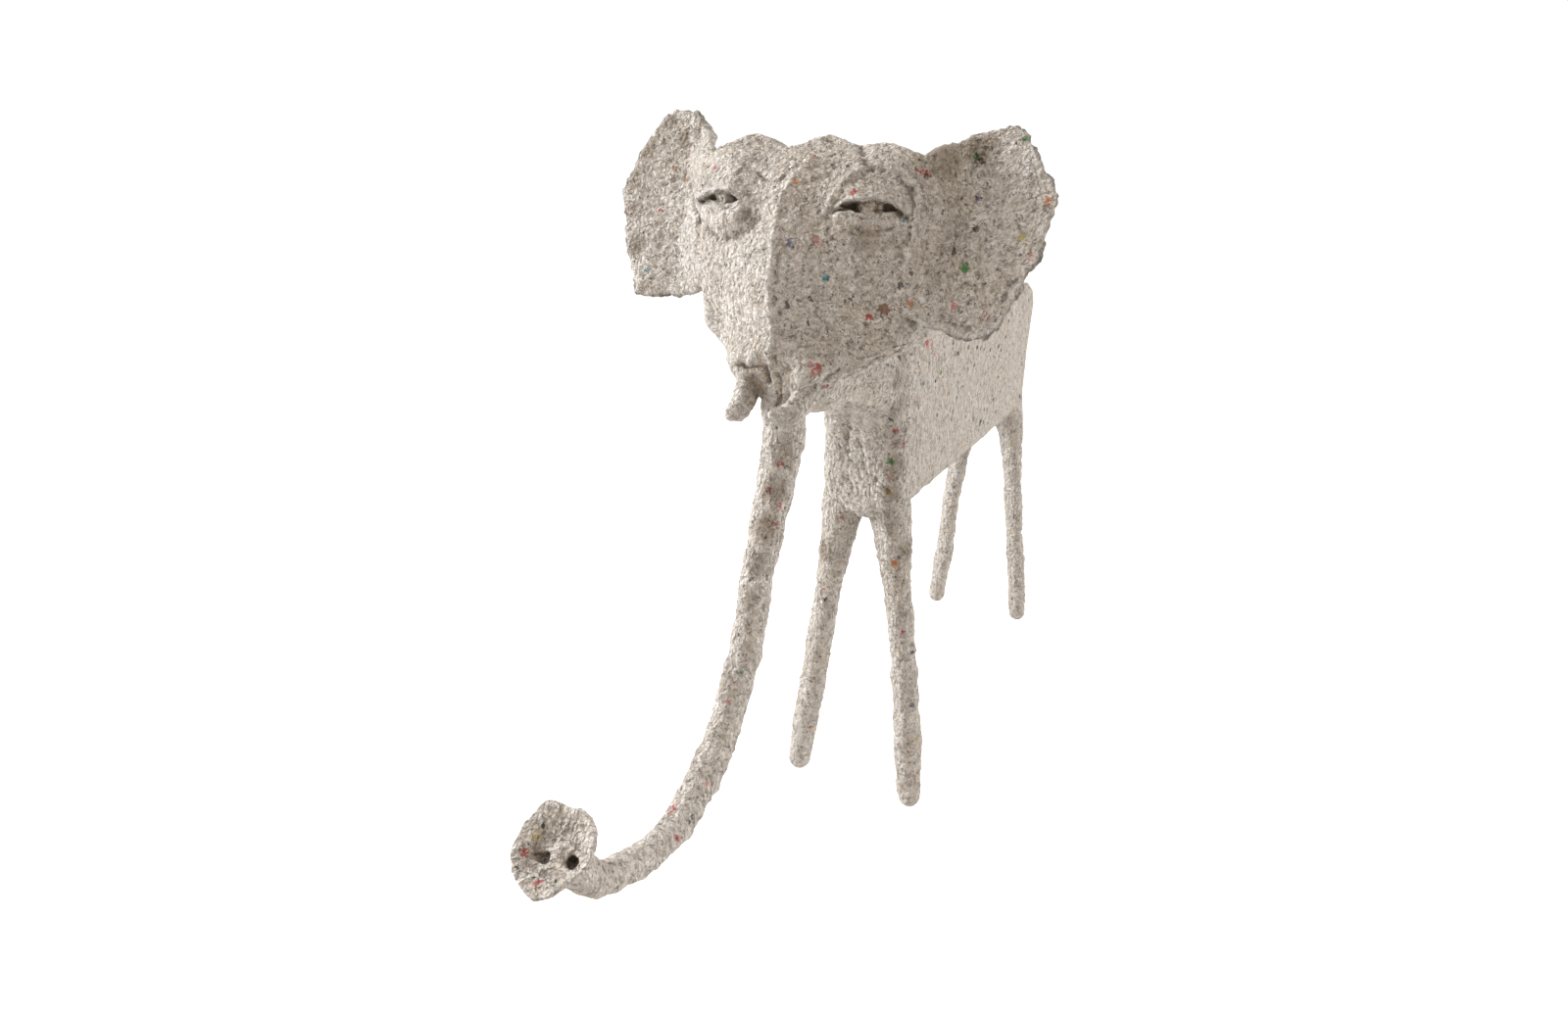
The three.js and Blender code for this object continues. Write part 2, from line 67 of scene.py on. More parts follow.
# Where the skin keeps the most triangles, in the same way
FINE_HEAD_HEIGHT = (0.33, 0.39)
FINE_HEAD_BACK = (-0.05, 0.02)
FINE_TIP_AHEAD = (0.33, 0.36)
FINE_CHEST_HEIGHT = (0.26, 0.28)
FINE_CHEST_BACK = (0.0, 0.02)

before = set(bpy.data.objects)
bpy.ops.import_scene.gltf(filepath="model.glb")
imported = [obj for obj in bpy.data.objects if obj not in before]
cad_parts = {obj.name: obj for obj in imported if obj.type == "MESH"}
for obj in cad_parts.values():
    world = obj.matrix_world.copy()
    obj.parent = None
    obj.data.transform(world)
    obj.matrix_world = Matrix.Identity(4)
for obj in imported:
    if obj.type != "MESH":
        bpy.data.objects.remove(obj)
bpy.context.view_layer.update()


def make_camera():
    data = bpy.data.cameras.new("camera")
    data.sensor_width = SENSOR_MM
    data.lens = FOCAL_PIXELS * SENSOR_MM / IMAGE_WIDTH
    data.clip_start = 0.01
    camera = bpy.data.objects.new("camera", data)
    camera.location = CAMERA_PLACE
    camera.rotation_euler = (math.pi / 2 - CAMERA_PITCH, 0, CAMERA_YAW)
    bpy.context.scene.collection.objects.link(camera)
    bpy.context.scene.camera = camera
    bpy.context.view_layer.update()
    return camera


def pixel_ray(camera, x, y):
    """The direction from the camera through a place in the 1600 by 1036 picture."""
    aim = Vector((x - IMAGE_WIDTH / 2, IMAGE_HEIGHT / 2 - y, -FOCAL_PIXELS))
    return (camera.matrix_world.to_3x3() @ aim).normalized()


# Mesh helpers


def read_points(mesh):
    points = np.empty(len(mesh.vertices) * 3)
    mesh.vertices.foreach_get("co", points)
    return points.reshape(-1, 3)


def write_points(mesh, points):
    mesh.vertices.foreach_set("co", points.reshape(-1).astype(np.float32))
    mesh.update()


def read_normals(mesh):
    normals = np.empty(len(mesh.vertices) * 3)
    mesh.vertex_normals.foreach_get("vector", normals)
    return normals.reshape(-1, 3)


def read_edges(mesh):
    edges = np.empty(len(mesh.edges) * 2, np.int32)
    mesh.edges.foreach_get("vertices", edges)
    return edges.reshape(-1, 2)


def apply_modifier(piece, kind, **settings):
    modifier = piece.modifiers.new(kind, kind)
    for name, value in settings.items():
        setattr(modifier, name, value)
    depsgraph = bpy.context.evaluated_depsgraph_get()
    mesh = bpy.data.meshes.new_from_object(piece.evaluated_get(depsgraph))
    piece.modifiers.clear()
    piece.data = mesh


def neighbour_mean(values, edges, counts):
    result = np.empty_like(values)
    for axis in range(values.shape[1]):
        column = values[:, axis]
        total = np.bincount(edges[:, 0], column[edges[:, 1]], len(column))
        total += np.bincount(edges[:, 1], column[edges[:, 0]], len(column))
        result[:, axis] = total / counts
    return result


def smooth_out(values, edges, rounds, weight=1.0):
    """Smoothing that alternates in and out, so that thin rims and tips keep their size."""
    counts = np.bincount(edges.reshape(-1), minlength=len(values)).clip(1)
    for _ in range(rounds):
        for step in (0.62, -0.645):
            values = values + weight * step * (neighbour_mean(values, edges, counts) - values)
    return values


def blur(values, edges, rounds):
    counts = np.bincount(edges.reshape(-1), minlength=len(values)).clip(1)
    for _ in range(rounds):
        values = values + 0.7 * (neighbour_mean(values, edges, counts) - values)
    return values


def unit(vectors):
    return vectors / np.linalg.norm(vectors, axis=1, keepdims=True).clip(1e-12)


def smoothstep(values, low, high):
    t = np.clip((values - low) / (high - low), 0, 1)
    return t * t * (3 - 2 * t)


# Noise: a seeded lattice of slopes, smoothly blended


def slope_noise(points, size, seed):
    """Smooth noise of about -1 to 1 whose lumps are size across."""
    table = np.random.RandomState(seed)
    order = table.permutation(256)
    slopes = unit(table.normal(size=(256, 3)))
    scaled = points / size + table.uniform(0, 50, 3)
    cell = np.floor(scaled).astype(np.int64)
    part = scaled - cell
    fade = part * part * part * (part * (part * 6 - 15) + 10)
    total = np.zeros(len(points))
    for corner in range(8):
        step = np.array([corner & 1, corner >> 1 & 1, corner >> 2 & 1])
        at = (cell + step) & 255
        slot = order[(order[(order[at[:, 0]] + at[:, 1]) & 255] + at[:, 2]) & 255]
        weight = np.prod(np.where(step, fade, 1 - fade), axis=1)
        total += weight * ((part - step) * slopes[slot]).sum(1)
    return total * 1.6


def noise_vectors(points, size, seeds):
    return np.stack([slope_noise(points, size, seed) for seed in seeds], axis=1)


# Marks made on the skin


def distance_to_line(points, line):
    """Distance from each point to a chain of short straight stretches, and how far the point is above it."""
    nearest = np.full(len(points), 1e9)
    above = np.zeros(len(points))
    low = line.min(0) - 0.03
    high = line.max(0) + 0.03
    near = np.flatnonzero(((points > low) & (points < high)).all(1))
    close = points[near]
    best = np.full(len(near), 1e9)
    rise = np.zeros(len(near))
    for a, b in zip(line[:-1], line[1:]):
        along = b - a
        share = np.clip(((close - a) @ along) / max(along @ along, 1e-12), 0, 1)
        apart = close - a - share[:, None] * along
        distance = np.linalg.norm(apart, axis=1)
        closer = distance < best
        best = np.where(closer, distance, best)
        rise = np.where(closer, apart[:, 2], rise)
    nearest[near] = best
    above[near] = rise
    return nearest, above


def bell(distance, width):
    return np.exp(-((distance / width) ** 2))


class Skin:
    """The skin's points with the marks that are pressed into it or laid on it."""

    def __init__(self, mesh, camera):
        self.mesh = mesh
        self.camera = camera
        self.edges = read_edges(mesh)
        self.points = read_points(mesh)
        self.wobble = 1.0 * MM * noise_vectors(self.points, 7 * MM, (81, 82, 83))
        self.unevenness = 1 + 0.45 * slope_noise(self.points, 8 * MM, 84)
        self.refresh()

    def refresh(self):
        write_points(self.mesh, self.points)
        self.normals = unit(blur(read_normals(self.mesh), self.edges, 3))
        faces = [tuple(face.vertices) for face in self.mesh.polygons]
        self.tree = BVHTree.FromPolygons([Vector(p) for p in self.points], faces)

    def spot(self, x, y):
        """Where the picture's place lies on the skin."""
        start = Vector(CAMERA_PLACE)
        ray = pixel_ray(self.camera, x, y)
        hit = self.tree.ray_cast(start, ray)
        if hit[0] is not None:
            return np.array(hit[0])
        passes = [self.tree.find_nearest(start + ray * (0.4 + 0.004 * k)) for k in range(180)]
        return np.array(min(passes, key=lambda near: near[3])[0])

    def line(self, places, steps=6):
        """A chain on the skin through places in the picture."""
        chain = []
        for (x0, y0), (x1, y1) in zip(places[:-1], places[1:]):
            for k in range(steps):
                t = k / steps
                chain.append(self.spot(x0 + (x1 - x0) * t, y0 + (y1 - y0) * t))
        chain.append(self.spot(*places[-1]))
        return np.array(chain)

    def press(self, places, height, width, forward=False, side=0):
        """Raises a ridge along the places, or with a negative height presses a groove. Millimetres.

        It moves the skin along its normals, or straight forward. A side of 1 keeps to the skin above the
        places, and -1 to the skin below them, so that the places become the edge of a step.
        """
        chain = self.line(places) if len(places) > 1 else np.array([self.spot(*places[0])] * 2)
        away, above = distance_to_line(self.points + self.wobble, chain)
        push = height * MM * bell(away, width * MM) * self.unevenness
        if side:
            half = np.linalg.norm(chain[-1] - chain[0]) / 2
            off_middle = np.linalg.norm(self.points - chain.mean(0), axis=1)
            push = push * smoothstep(side * above, -0.4 * MM, 0.9 * MM)
            push = push * (1 - smoothstep(off_middle, 0.7 * half, 1.15 * half))
        self.points = self.points + push[:, None] * (FORWARD if forward else self.normals)


def nudge(shape, x, y, right, up, width):
    """Shifts the skin around a place in the picture, in mm to the picture's right and up."""
    away = np.linalg.norm(shape.points - shape.spot(x, y), axis=1)
    shift = right * PICTURE_RIGHT + up * np.array([0.0, 0.0, 1.0])
    shape.points = shape.points + MM * bell(away, width * MM)[:, None] * shift


def make_skin(camera):
    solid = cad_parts[NODE]
    skin = bpy.data.objects.new("elephant_skin", solid.data.copy())
    bpy.context.scene.collection.objects.link(skin)
    apply_modifier(skin, "WELD", merge_threshold=0.00001)
    apply_modifier(skin, "REMESH", mode="VOXEL", voxel_size=VOXEL)
    shape = Skin(skin.data, camera)

    eyes = eye_share(shape.points)
    shape.points = smooth_out(shape.points, shape.edges, SMOOTH_ROUNDS, 1 - 0.85 * eyes[:, None])
    shape.refresh()
    for shift in NUDGES:
        nudge(shape, *shift)
    shape.refresh()
    for mark in MARKS:
        shape.press(*mark)
    shape.refresh()

    free = smoothstep(shape.points[:, 2], *FLOOR_HEIGHT)
    calm = 1 - 0.6 * eyes
    lumps = pulp_relief(shape.points)
    tears = torn_rims(shape)
    shape.points = shape.points + (lumps * free * calm + tears)[:, None] * shape.normals
    shape.points[:, 2] = shape.points[:, 2].clip(0)
    write_points(shape.mesh, shape.points)

    store(skin.data, "relief", relief_share(shape))
    store(skin.data, "rim", rim_share(shape))
    store(skin.data, "face", face_share(shape.points))
    store(skin.data, "flank", body_share(shape.points))
    store(skin.data, "shade_and_stain", shade_and_stain_share(shape))
    thin_out(skin, shape)
    for face in skin.data.polygons:
        face.use_smooth = True
    return skin, shape


def thin_out(skin, shape):
    """Fewer triangles, kept where the detail is: the head, the trunk's end, the chest and the limbs."""
    points = shape.points
    along, up = points[:, 1], points[:, 2]
    head = smoothstep(up, *FINE_HEAD_HEIGHT) * (1 - smoothstep(along, *FINE_HEAD_BACK))
    tip = smoothstep(-along, *FINE_TIP_AHEAD)
    chest = 0.8 * smoothstep(up, *FINE_CHEST_HEIGHT) * (1 - smoothstep(along, *FINE_CHEST_BACK))
    limbs = np.maximum(0.6 * limb_share(points), chest)
    plain = 1 - 0.9 * np.maximum(np.maximum(head, tip), limbs)
    group = skin.vertex_groups.new(name="plain")
    levels = np.round(plain * 10).astype(int)
    for level in range(1, 11):
        group.add(np.flatnonzero(levels == level).tolist(), level / 10, "REPLACE")
    apply_modifier(skin, "TRIANGULATE")
    ratio = min(1.0, FACE_LIMIT / len(skin.data.polygons))
    apply_modifier(skin, "DECIMATE", ratio=ratio, vertex_group="plain", vertex_group_factor=DETAIL_PULL)
    skin.vertex_groups.clear()


def limb_share(points):
    """1 on the legs and the trunk, 0 on the body and the head."""
    legs = 1 - smoothstep(points[:, 2], *LEG_HEIGHT)
    trunk = smoothstep(-points[:, 1], *TRUNK_AHEAD) * (1 - smoothstep(points[:, 2], *TRUNK_HEIGHT))
    return np.maximum(legs, trunk)


def store(mesh, name, values):
    attribute = mesh.attributes.new(name, "FLOAT", "POINT")
    attribute.data.foreach_set("value", values.astype(np.float32))


def relief_share(shape):
    """How far each point stands out of its surroundings: 0 in a deep pit, 1 on a crest."""
    settled = blur(shape.points, shape.edges, 18)
    out = ((shape.points - settled) * shape.normals).sum(1)
    return np.clip(0.5 + out / (1.8 * MM), 0, 1)


def rim_share(shape):
    """Where the ears' rims are: 1 on the edge of an ear, 0 on its faces and everywhere else."""
    across, up = shape.points[:, 0], shape.points[:, 2]
    ears = smoothstep(np.abs(across), *EAR_SIDE) * smoothstep(up, *EAR_HEIGHT)
    facing = np.abs(shape.normals @ EAR_FACING)
    return ears * (1 - smoothstep(facing, 0.35, 0.85))


def shade_and_stain_share(shape):
    """Soft darker places: painted shade under the eyes, on the ears, down the chest's right corner and beside
    the nostrils, and darker patches of the pulp on the trunk and legs.
    """
    share = np.zeros(len(shape.points))
    for x, y, radius in SHADE_AND_STAIN_SPOTS:
        away = np.linalg.norm(shape.points - shape.spot(x, y), axis=1)
        share = np.maximum(share, 1 - smoothstep(away, 0.25 * radius * MM, radius * MM))
    return share


def torn_rims(shape):
    """Crumbled, pinched edges of the ears."""
    rims = rim_share(shape)
    crumbs = 2.3 * slope_noise(shape.points, 9.0 * MM, 71) + 1.5 * slope_noise(shape.points, 3.8 * MM, 72)
    return MM * rims * (0.5 + crumbs)


def pulp_relief(points):
    """Crumpled pulp: broad dents of the hand, lumps of pulp, and folded crests between them."""
    broad = 0.8 * slope_noise(points, 42 * MM, 11)
    lumps = 0.7 * slope_noise(points, 17 * MM, 23)
    knobs = 0.9 * slope_noise(points, 10 * MM, 27) * limb_share(points)
    bent = points + 3.0 * MM * noise_vectors(points, 12 * MM, (31, 32, 33))
    folds = 0.85 * (0.42 - np.abs(slope_noise(bent, 9.5 * MM, 41)))
    crests = 0.75 * (0.40 - np.abs(slope_noise(bent, 5.2 * MM, 52)))
    fine = 0.45 * slope_noise(bent, 2.8 * MM, 63)
    calm = 1 - 0.45 * body_share(points)
    drawn = bent * np.array([1.0, 1.0, 0.30])
    streaks = 1.35 * (0.40 - np.abs(slope_noise(drawn, 5.0 * MM, 74))) * (1 - face_share(points))
    disc = smoothstep(-points[:, 1], *DISC_AHEAD)
    small = (1 - 0.55 * disc) * (folds + crests + fine) + (1 - disc) * streaks
    return MM * (broad + lumps + knobs + calm * small)


def face_share(points):
    """1 on the head, the ears and the tusks, 0 elsewhere."""
    return smoothstep(points[:, 2], *FACE_HEIGHT) * (1 - smoothstep(points[:, 1], *FACE_BACK))


def body_share(points):
    """1 on the plain sides and back of the body, 0 elsewhere."""
    return smoothstep(points[:, 1], *BODY_FRONT) * smoothstep(points[:, 2], *BODY_HEIGHT)


EYE_PLACES = ((0.0507, -0.141, 0.516), (-0.0459, -0.141, 0.516))
EAR_FACING = np.array([0.0, -0.94, 0.34])
FORWARD = np.array([0.0, -1.0, 0.0])
PICTURE_RIGHT = np.array([math.cos(CAMERA_YAW), math.sin(CAMERA_YAW), 0.0])


def eye_share(points):
    share = np.zeros(len(points))
    for place in EYE_PLACES:
        near = (points - np.array(place)) / np.array([0.026, 0.03, 0.014])
        share = np.maximum(share, 1 - smoothstep(np.linalg.norm(near, axis=1), 0.75, 1.25))
    return share


# Darker places, painted shade and darker patches of the pulp: place in the picture and radius in mm
SHADE_AND_STAIN_SPOTS = [
    (916, 385, 17), (917, 415, 17), (916, 445, 17), (914, 475, 17), (911, 505, 16), (905, 530, 12),
    (648, 145, 17), (642, 180, 14), (641, 215, 14), (645, 250, 12), (676, 122, 12), (700, 140, 10),
    (805, 430, 14), (800, 465, 15), (790, 500, 14), (770, 395, 14), (960, 160, 18), (1000, 150, 16),
    (885, 245, 14), (765, 225, 9), (842, 560, 16), (925, 560, 14), (722, 185, 9), (760, 165, 9),
    (780, 540, 13), (772, 575, 12), (740, 690, 12), (700, 770, 10), (550, 871, 6), (584, 879, 7),
]

# Hand-made unevenness of the limbs and the cheek: place in the picture, mm right, mm up, width in mm
NUDGES = [
    (771, 600, -3.0, 0.0, 38),
    (690, 860, 1.2, -1.6, 30),
    (962, 560, 3.2, 0.0, 40),
    (1034, 540, -1.6, 0.0, 60),
    (827, 690, 1.4, 0.0, 40),
    (731, 328, 2.8, 0.0, 10),
    (745, 366, -2.6, 0.0, 9),
    (1070, 170, -2.0, 0.0, 12),
    (1066, 245, -2.4, 1.0, 11),
    (1040, 305, -3.0, 2.0, 9),
    (1052, 281, -2.2, 1.4, 5),
    (1024, 334, -1.8, 1.6, 5),
    (1077, 187, -1.8, 0.0, 5),
    (1062, 150, -1.2, -1.4, 5),
    (694, 116, 0.0, -2.0, 7),
    (642, 180, 2.6, 0.0, 8),
    (655, 298, -2.0, -1.0, 7),
    (960, 145, 0.0, 3.0, 10),
    (1000, 133, 1.6, 2.0, 8),
]

# Each mark: places in the picture, height in mm (negative is pressed in), width in mm
MARKS = [
    # ridge down the middle of the face, and the hollow beside it
    ([(830, 162), (813, 178), (802, 193), (794, 212), (790, 230), (788, 252), (786, 275), (785, 295),
      (786, 314), (789, 330), (788, 350), (786, 372)], 1.5, 2.4),
    ([(804, 212), (799, 235), (796, 262), (794, 290), (795, 320), (794, 348)], -0.7, 3.4),
    ([(878, 149), (880, 158), (883, 168)], -1.6, 2.2),
    # eye at the picture's left: hood above the slit, lid and pouch below it, hollow, ball, folds and creases
    ([(708, 206), (717, 203), (723, 200), (730, 197), (737, 195), (746, 195), (752, 198)], 4.2, 8.5, True, 1),
    ([(713, 211), (719, 208.5), (726, 208.5), (734, 210.5), (740, 213), (747, 210.5), (754, 205), (761, 206)],
     3.6, 9.5, True, -1),
    ([(716, 206), (724, 205), (731, 204)], -3.5, 2.6, True),
    ([(743, 203)], 1.6, 2.6, True),
    ([(744, 204)], -1.5, 1.2, True),
    ([(749, 185), (755, 194), (760, 203), (768, 210)], 1.5, 1.8),
    ([(746, 188), (750, 196)], -1.4, 1.2),
    ([(705, 190), (707, 204), (710, 215), (715, 227)], -2.4, 1.8),
    ([(700, 190), (702, 206), (706, 219), (712, 231)], 1.1, 2.6),
    ([(722, 234), (733, 244), (748, 243), (762, 236), (773, 222)], -1.8, 3.2),
    # brow crease between that eye and the ridge
    ([(751, 180), (756, 175), (763, 173.6), (773, 177), (784, 184.5), (788, 186.4), (794, 184.5), (800, 180)],
     -1.5, 1.6),
    ([(752, 173), (763, 168), (776, 171), (789, 179)], 0.9, 2.6),
    # eye at the picture's right: hood above the slit, lid and pouch below it, arch, ball, folds and creases
    ([(850, 214), (863, 211.5), (874, 206.5), (890, 204), (898, 205.5), (909, 208), (917, 213), (923, 220)],
     4.0, 9.0, True, 1),
    ([(850, 218), (857, 216), (863, 216.5), (872, 220), (880, 223), (892, 224), (901, 223.5), (914, 223),
      (922, 222)], 3.2, 7.5, True, -1),
    ([(844, 216), (849, 203), (861, 186), (876, 173.5), (890, 168), (905, 169), (922, 178), (934, 193),
      (938, 205)], 2.2, 2.6),
    ([(925, 186), (931, 197), (934, 208), (931, 222), (930, 243)], -1.4, 1.4),
    ([(884, 213)], 1.2, 4.5, True),
    ([(892.4, 214.5)], -3.0, 1.6, True),
    ([(900, 210)], 1.5, 1.4, True),
    ([(906, 211), (911, 213.5), (918, 218)], -3.0, 1.8, True),
    ([(855, 214.5), (864, 213.5)], -2.4, 1.5, True),
    ([(858, 222), (866, 229)], 1.2, 3.4),
    ([(872, 238), (886, 238), (898, 237), (910, 233)], -1.2, 2.2),
    ([(851, 218), (849, 226), (845, 234)], -1.4, 1.6),
    ([(925, 220), (928, 230), (930, 243)], -1.4, 1.6),
    # muzzle: bulge over the left tusk, gap beside the trunk, knob, wedge and creases at the right
    ([(753, 357), (768, 359)], 3.2, 8.0, True),
    ([(746, 366), (751, 371), (757, 369), (765, 372), (771, 369), (778, 371)], 2.0, 5.5, True, 1),
    ([(751, 374), (757, 372), (765, 375), (772, 372.5), (779, 374)], -1.4, 2.0),
    ([(766, 384), (764, 399), (756, 413)], 1.5, 7.0),
    ([(783, 372), (784, 391)], -2.6, 1.8),
    ([(823, 371), (828, 377)], 4.2, 9.5, True),
    ([(806, 356), (811, 368)], 1.6, 5.0, True),
    ([(819, 385), (813, 399), (806, 411), (799, 421)], 3.4, 7.0, True),
    ([(793, 380), (797, 390), (798, 402), (792, 414)], -1.0, 1.4),
    ([(785, 429), (793, 439), (805, 441), (816, 436), (826, 425), (832, 412)], 1.6, 5.5, True, 1),
    ([(826, 390), (832, 394), (841, 390), (848, 385), (857, 379)], -1.8, 2.2),
    ([(840, 397), (852, 391), (868, 382), (884, 373), (899, 365)], -1.2, 2.0),
    # curled edge of the ear at the picture's right, and the hollow inside it
    ([(1046, 287), (1035, 297), (1030, 313), (1021, 329), (1008, 340), (988, 345), (972, 341), (950, 331)],
     1.5, 2.6, True),
    ([(1037, 286), (1027, 296), (1022, 311), (1012, 324), (999, 332), (986, 334), (972, 330), (956, 321)],
     -0.7, 2.2, True),
    # nostrils
    ([(550, 871)], -1.4, 3.2),
    ([(584, 879)], -1.2, 3.6),
    # folds on the chest and at the hips
    ([(846, 432), (843, 480), (842, 520)], 1.8, 9.0),
    ([(868, 470), (884, 482), (902, 496), (912, 505)], -1.3, 2.0),
    ([(862, 400), (866, 430), (864, 462)], -1.2, 3.2),
    ([(886, 410), (884, 440), (889, 470)], 1.3, 3.2),
    # crease on the cheek
    ([(884, 330), (907, 345), (914, 359)], -1.2, 2.2),
]


camera = make_camera()
skin, shape = make_skin(camera)
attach(skin, "root")
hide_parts(NODE)


# Materials


class Nodes:
    """Short ways to lay out shader nodes."""

    def __init__(self, name):
        self.material = bpy.data.materials.new(name)
        self.material.use_nodes = True
        self.tree = self.material.node_tree
        self.tree.nodes.clear()

    def add(self, kind, inputs=(), **settings):
        node = self.tree.nodes.new("ShaderNode" + kind)
        for name, value in settings.items():
            setattr(node, name, value)
        for name, value in dict(inputs).items():
            if isinstance(value, bpy.types.NodeSocket):
                self.tree.links.new(value, node.inputs[name])
            else:
                node.inputs[name].default_value = value
        return node

    def math(self, operation, a, b=0.0):
        return self.add("Math", {0: a, 1: b}, operation=operation).outputs[0]

    def ramp(self, value, low, high, start=0.0, end=1.0):
        """The value's share of the way from low to high, kept between start and end."""
        inputs = {0: value, 1: low, 2: high, 3: start, 4: end}
        return self.add("MapRange", inputs, interpolation_type="SMOOTHSTEP").outputs[0]

    def noise(self, place, size, detail=2.0, roughness=0.5, distortion=0.0):
        inputs = {"Vector": place, "Scale": 1 / size, "Detail": detail, "Roughness": roughness}
        return self.add("TexNoise", inputs | {"Distortion": distortion})

    def crests(self, place, size, detail=2.0):
        """Noise with sharp winding crests, like curled fibres."""
        node = self.add("TexNoise", noise_type="RIDGED_MULTIFRACTAL", normalize=True)
        settings = {"Scale": 1 / size, "Detail": detail, "Roughness": 0.6, "Offset": 0.9, "Gain": 1.6}
        for name, value in settings.items():
            node.inputs[name].default_value = value
        self.tree.links.new(place, node.inputs["Vector"])
        return node.outputs[0]

    def cells(self, place, size):
        return self.add("TexVoronoi", {"Vector": place, "Scale": 1 / size, "Randomness": 1.0})

    def blend(self, share, a, b, kind="MIX"):
        node = self.add("Mix", data_type="RGBA", blend_type=kind)
        for index, value in ((0, share), (6, a), (7, b)):
            if isinstance(value, bpy.types.NodeSocket):
                self.tree.links.new(value, node.inputs[index])
            else:
                node.inputs[index].default_value = value
        return node.outputs[2]

    def stretch(self, place, factors):
        return self.add("VectorMath", {0: place, 1: factors}, operation="MULTIPLY").outputs[0]

    def shift(self, place, by, amount):
        """The place pushed about by a noise's colour, amount metres at most."""
        centred = self.add("VectorMath", {0: by, 1: (0.5, 0.5, 0.5)}, operation="SUBTRACT").outputs[0]
        scaled = self.add("VectorMath", {0: centred, "Scale": 2 * amount}, operation="SCALE").outputs[0]
        return self.add("VectorMath", {0: place, 1: scaled}, operation="ADD").outputs[0]


PULP = (0.730, 0.645, 0.550, 1)
PULP_WARM = (0.700, 0.595, 0.475, 1)
PULP_PALE = (0.880, 0.825, 0.750, 1)
PULP_DARK = (0.350, 0.298, 0.236, 1)
SPECK = (0.078, 0.072, 0.064, 1)
DEEP_SPECK = (0.036, 0.035, 0.034, 1)
# Painted shade: the dark colour laid into pits, fine cracks and the ears' edge faces
PAINTED_SHADE = (0.150, 0.125, 0.105, 1)
FLANK_DASH = (0.075, 0.080, 0.080, 1)
# Tint for the darker spots, partly painted shade and partly darker pulp
SHADE_AND_STAIN_TINT = (0.60, 0.56, 0.52, 1)

FLECK_COLOURS = {
    "red": (0.520, 0.075, 0.065),
    "pink": (0.640, 0.260, 0.250),
    "green": (0.045, 0.260, 0.050),
    "blue": (0.075, 0.080, 0.190),
    "teal": (0.030, 0.240, 0.310),
    "orange": (0.680, 0.260, 0.090),
    "yellow": (0.560, 0.430, 0.130),
    "dark": (0.055, 0.050, 0.050),
    "brown": (0.270, 0.140, 0.080),
}
# The larger flecks: colour, and for each its place in the picture and its radius in mm
FLECKS = {
    "red": [
        (830, 159, 2.6), (870, 196, 2.2), (939, 174, 1.9), (947, 178, 2.6), (730, 171, 2.0), (887, 323, 2.4),
        (828, 371, 2.3), (836, 374, 2.6), (831, 381, 2.6), (837, 381, 2.0), (945, 349, 4.2), (1006, 321, 1.7),
        (640, 219, 2.0), (674, 215, 1.8), (686, 826, 2.6), (691, 855, 2.2), (535, 870, 2.4), (549, 902, 2.2),
        (860, 528, 2.4), (796, 473, 2.4), (785, 500, 2.0), (792, 534, 2.0), (914, 440, 2.6), (921, 453, 2.4),
        (842, 396, 1.8), (828, 418, 2.2), (921, 645, 2.2), (926, 767, 2.0), (935, 790, 2.0), (827, 742, 2.0),
    ],
    "pink": [
        (832, 245, 2.0), (837, 250, 1.5), (974, 312, 2.6), (908, 487, 2.4), (1052, 262, 1.8), (778, 371, 1.7),
        (951, 352, 3.6), (954, 361, 2.2), (795, 518, 2.2), (742, 716, 2.2), (720, 801, 2.2), (690, 822, 2.0),
    ],
    "orange": [
        (812, 186, 2.2), (701, 184, 1.9), (688, 170, 1.4), (930, 310, 2.2), (1070, 206, 2.6),
        (913, 575, 3.6),
    ],
    "blue": [
        (807, 248, 2.7), (998, 203, 2.0), (887, 468, 2.0), (924, 439, 2.2), (917, 570, 2.2),
        (931, 720, 2.6),
    ],
    "teal": [
        (843, 283, 2.1), (661, 276, 2.2), (700, 235, 1.8), (941, 392, 2.6), (976, 407, 2.8),
        (923, 224, 1.5),
    ],
    "green": [
        (985, 273, 3.1), (997, 160, 2.2), (908, 471, 3.2), (1048, 142, 2.4), (756, 685, 2.2), (921, 767, 1.8),
        (960, 380, 2.4),
    ],
    "yellow": [
        (1043, 243, 2.2), (905, 339, 1.9), (548, 852, 2.2), (907, 502, 3.0), (1032, 453, 2.6),
        (917, 665, 1.8), (935, 755, 1.8),
    ],
    "dark": [
        (995, 233, 2.2), (973, 257, 2.6), (1069, 213, 2.6), (1001, 164, 2.0), (877, 197, 1.4),
        (869, 303, 1.5),
        (918, 291, 2.0), (962, 216, 1.3), (983, 255, 1.3), (828, 305, 1.6), (804, 311, 2.4), (863, 247, 1.5),
        (947, 180, 1.6), (760, 170, 1.5), (931, 665, 2.4), (842, 612, 2.2), (909, 429, 2.2),
    ],
    "brown": [(902, 315, 3.6), (797, 404, 2.0)],
}


def fleck_mask(n, place, flecks):
    """1 inside any of the flecks and 0 outside."""
    inside = None
    for x, y, radius in flecks:
        spot = tuple(shape.spot(x, y))
        away = n.add("VectorMath", {0: place, 1: spot}, operation="DISTANCE").outputs["Value"]
        depth = n.math("SUBTRACT", radius * MM, away)
        inside = depth if inside is None else n.math("MAXIMUM", inside, depth)
    return n.ramp(inside, -0.35 * MM, 0.45 * MM)


def chosen_cells(n, place, size, chance, radius):
    """Spots in a random choice of cells: how deep the place is inside one, and a random share of its cell."""
    cells = n.cells(place, size)
    share = n.add("SeparateColor", {0: cells.outputs["Color"]}).outputs
    reach = n.math("MULTIPLY", n.ramp(share[0], chance, 1.0), radius)
    return n.math("SUBTRACT", reach, cells.outputs["Distance"]), share[1]


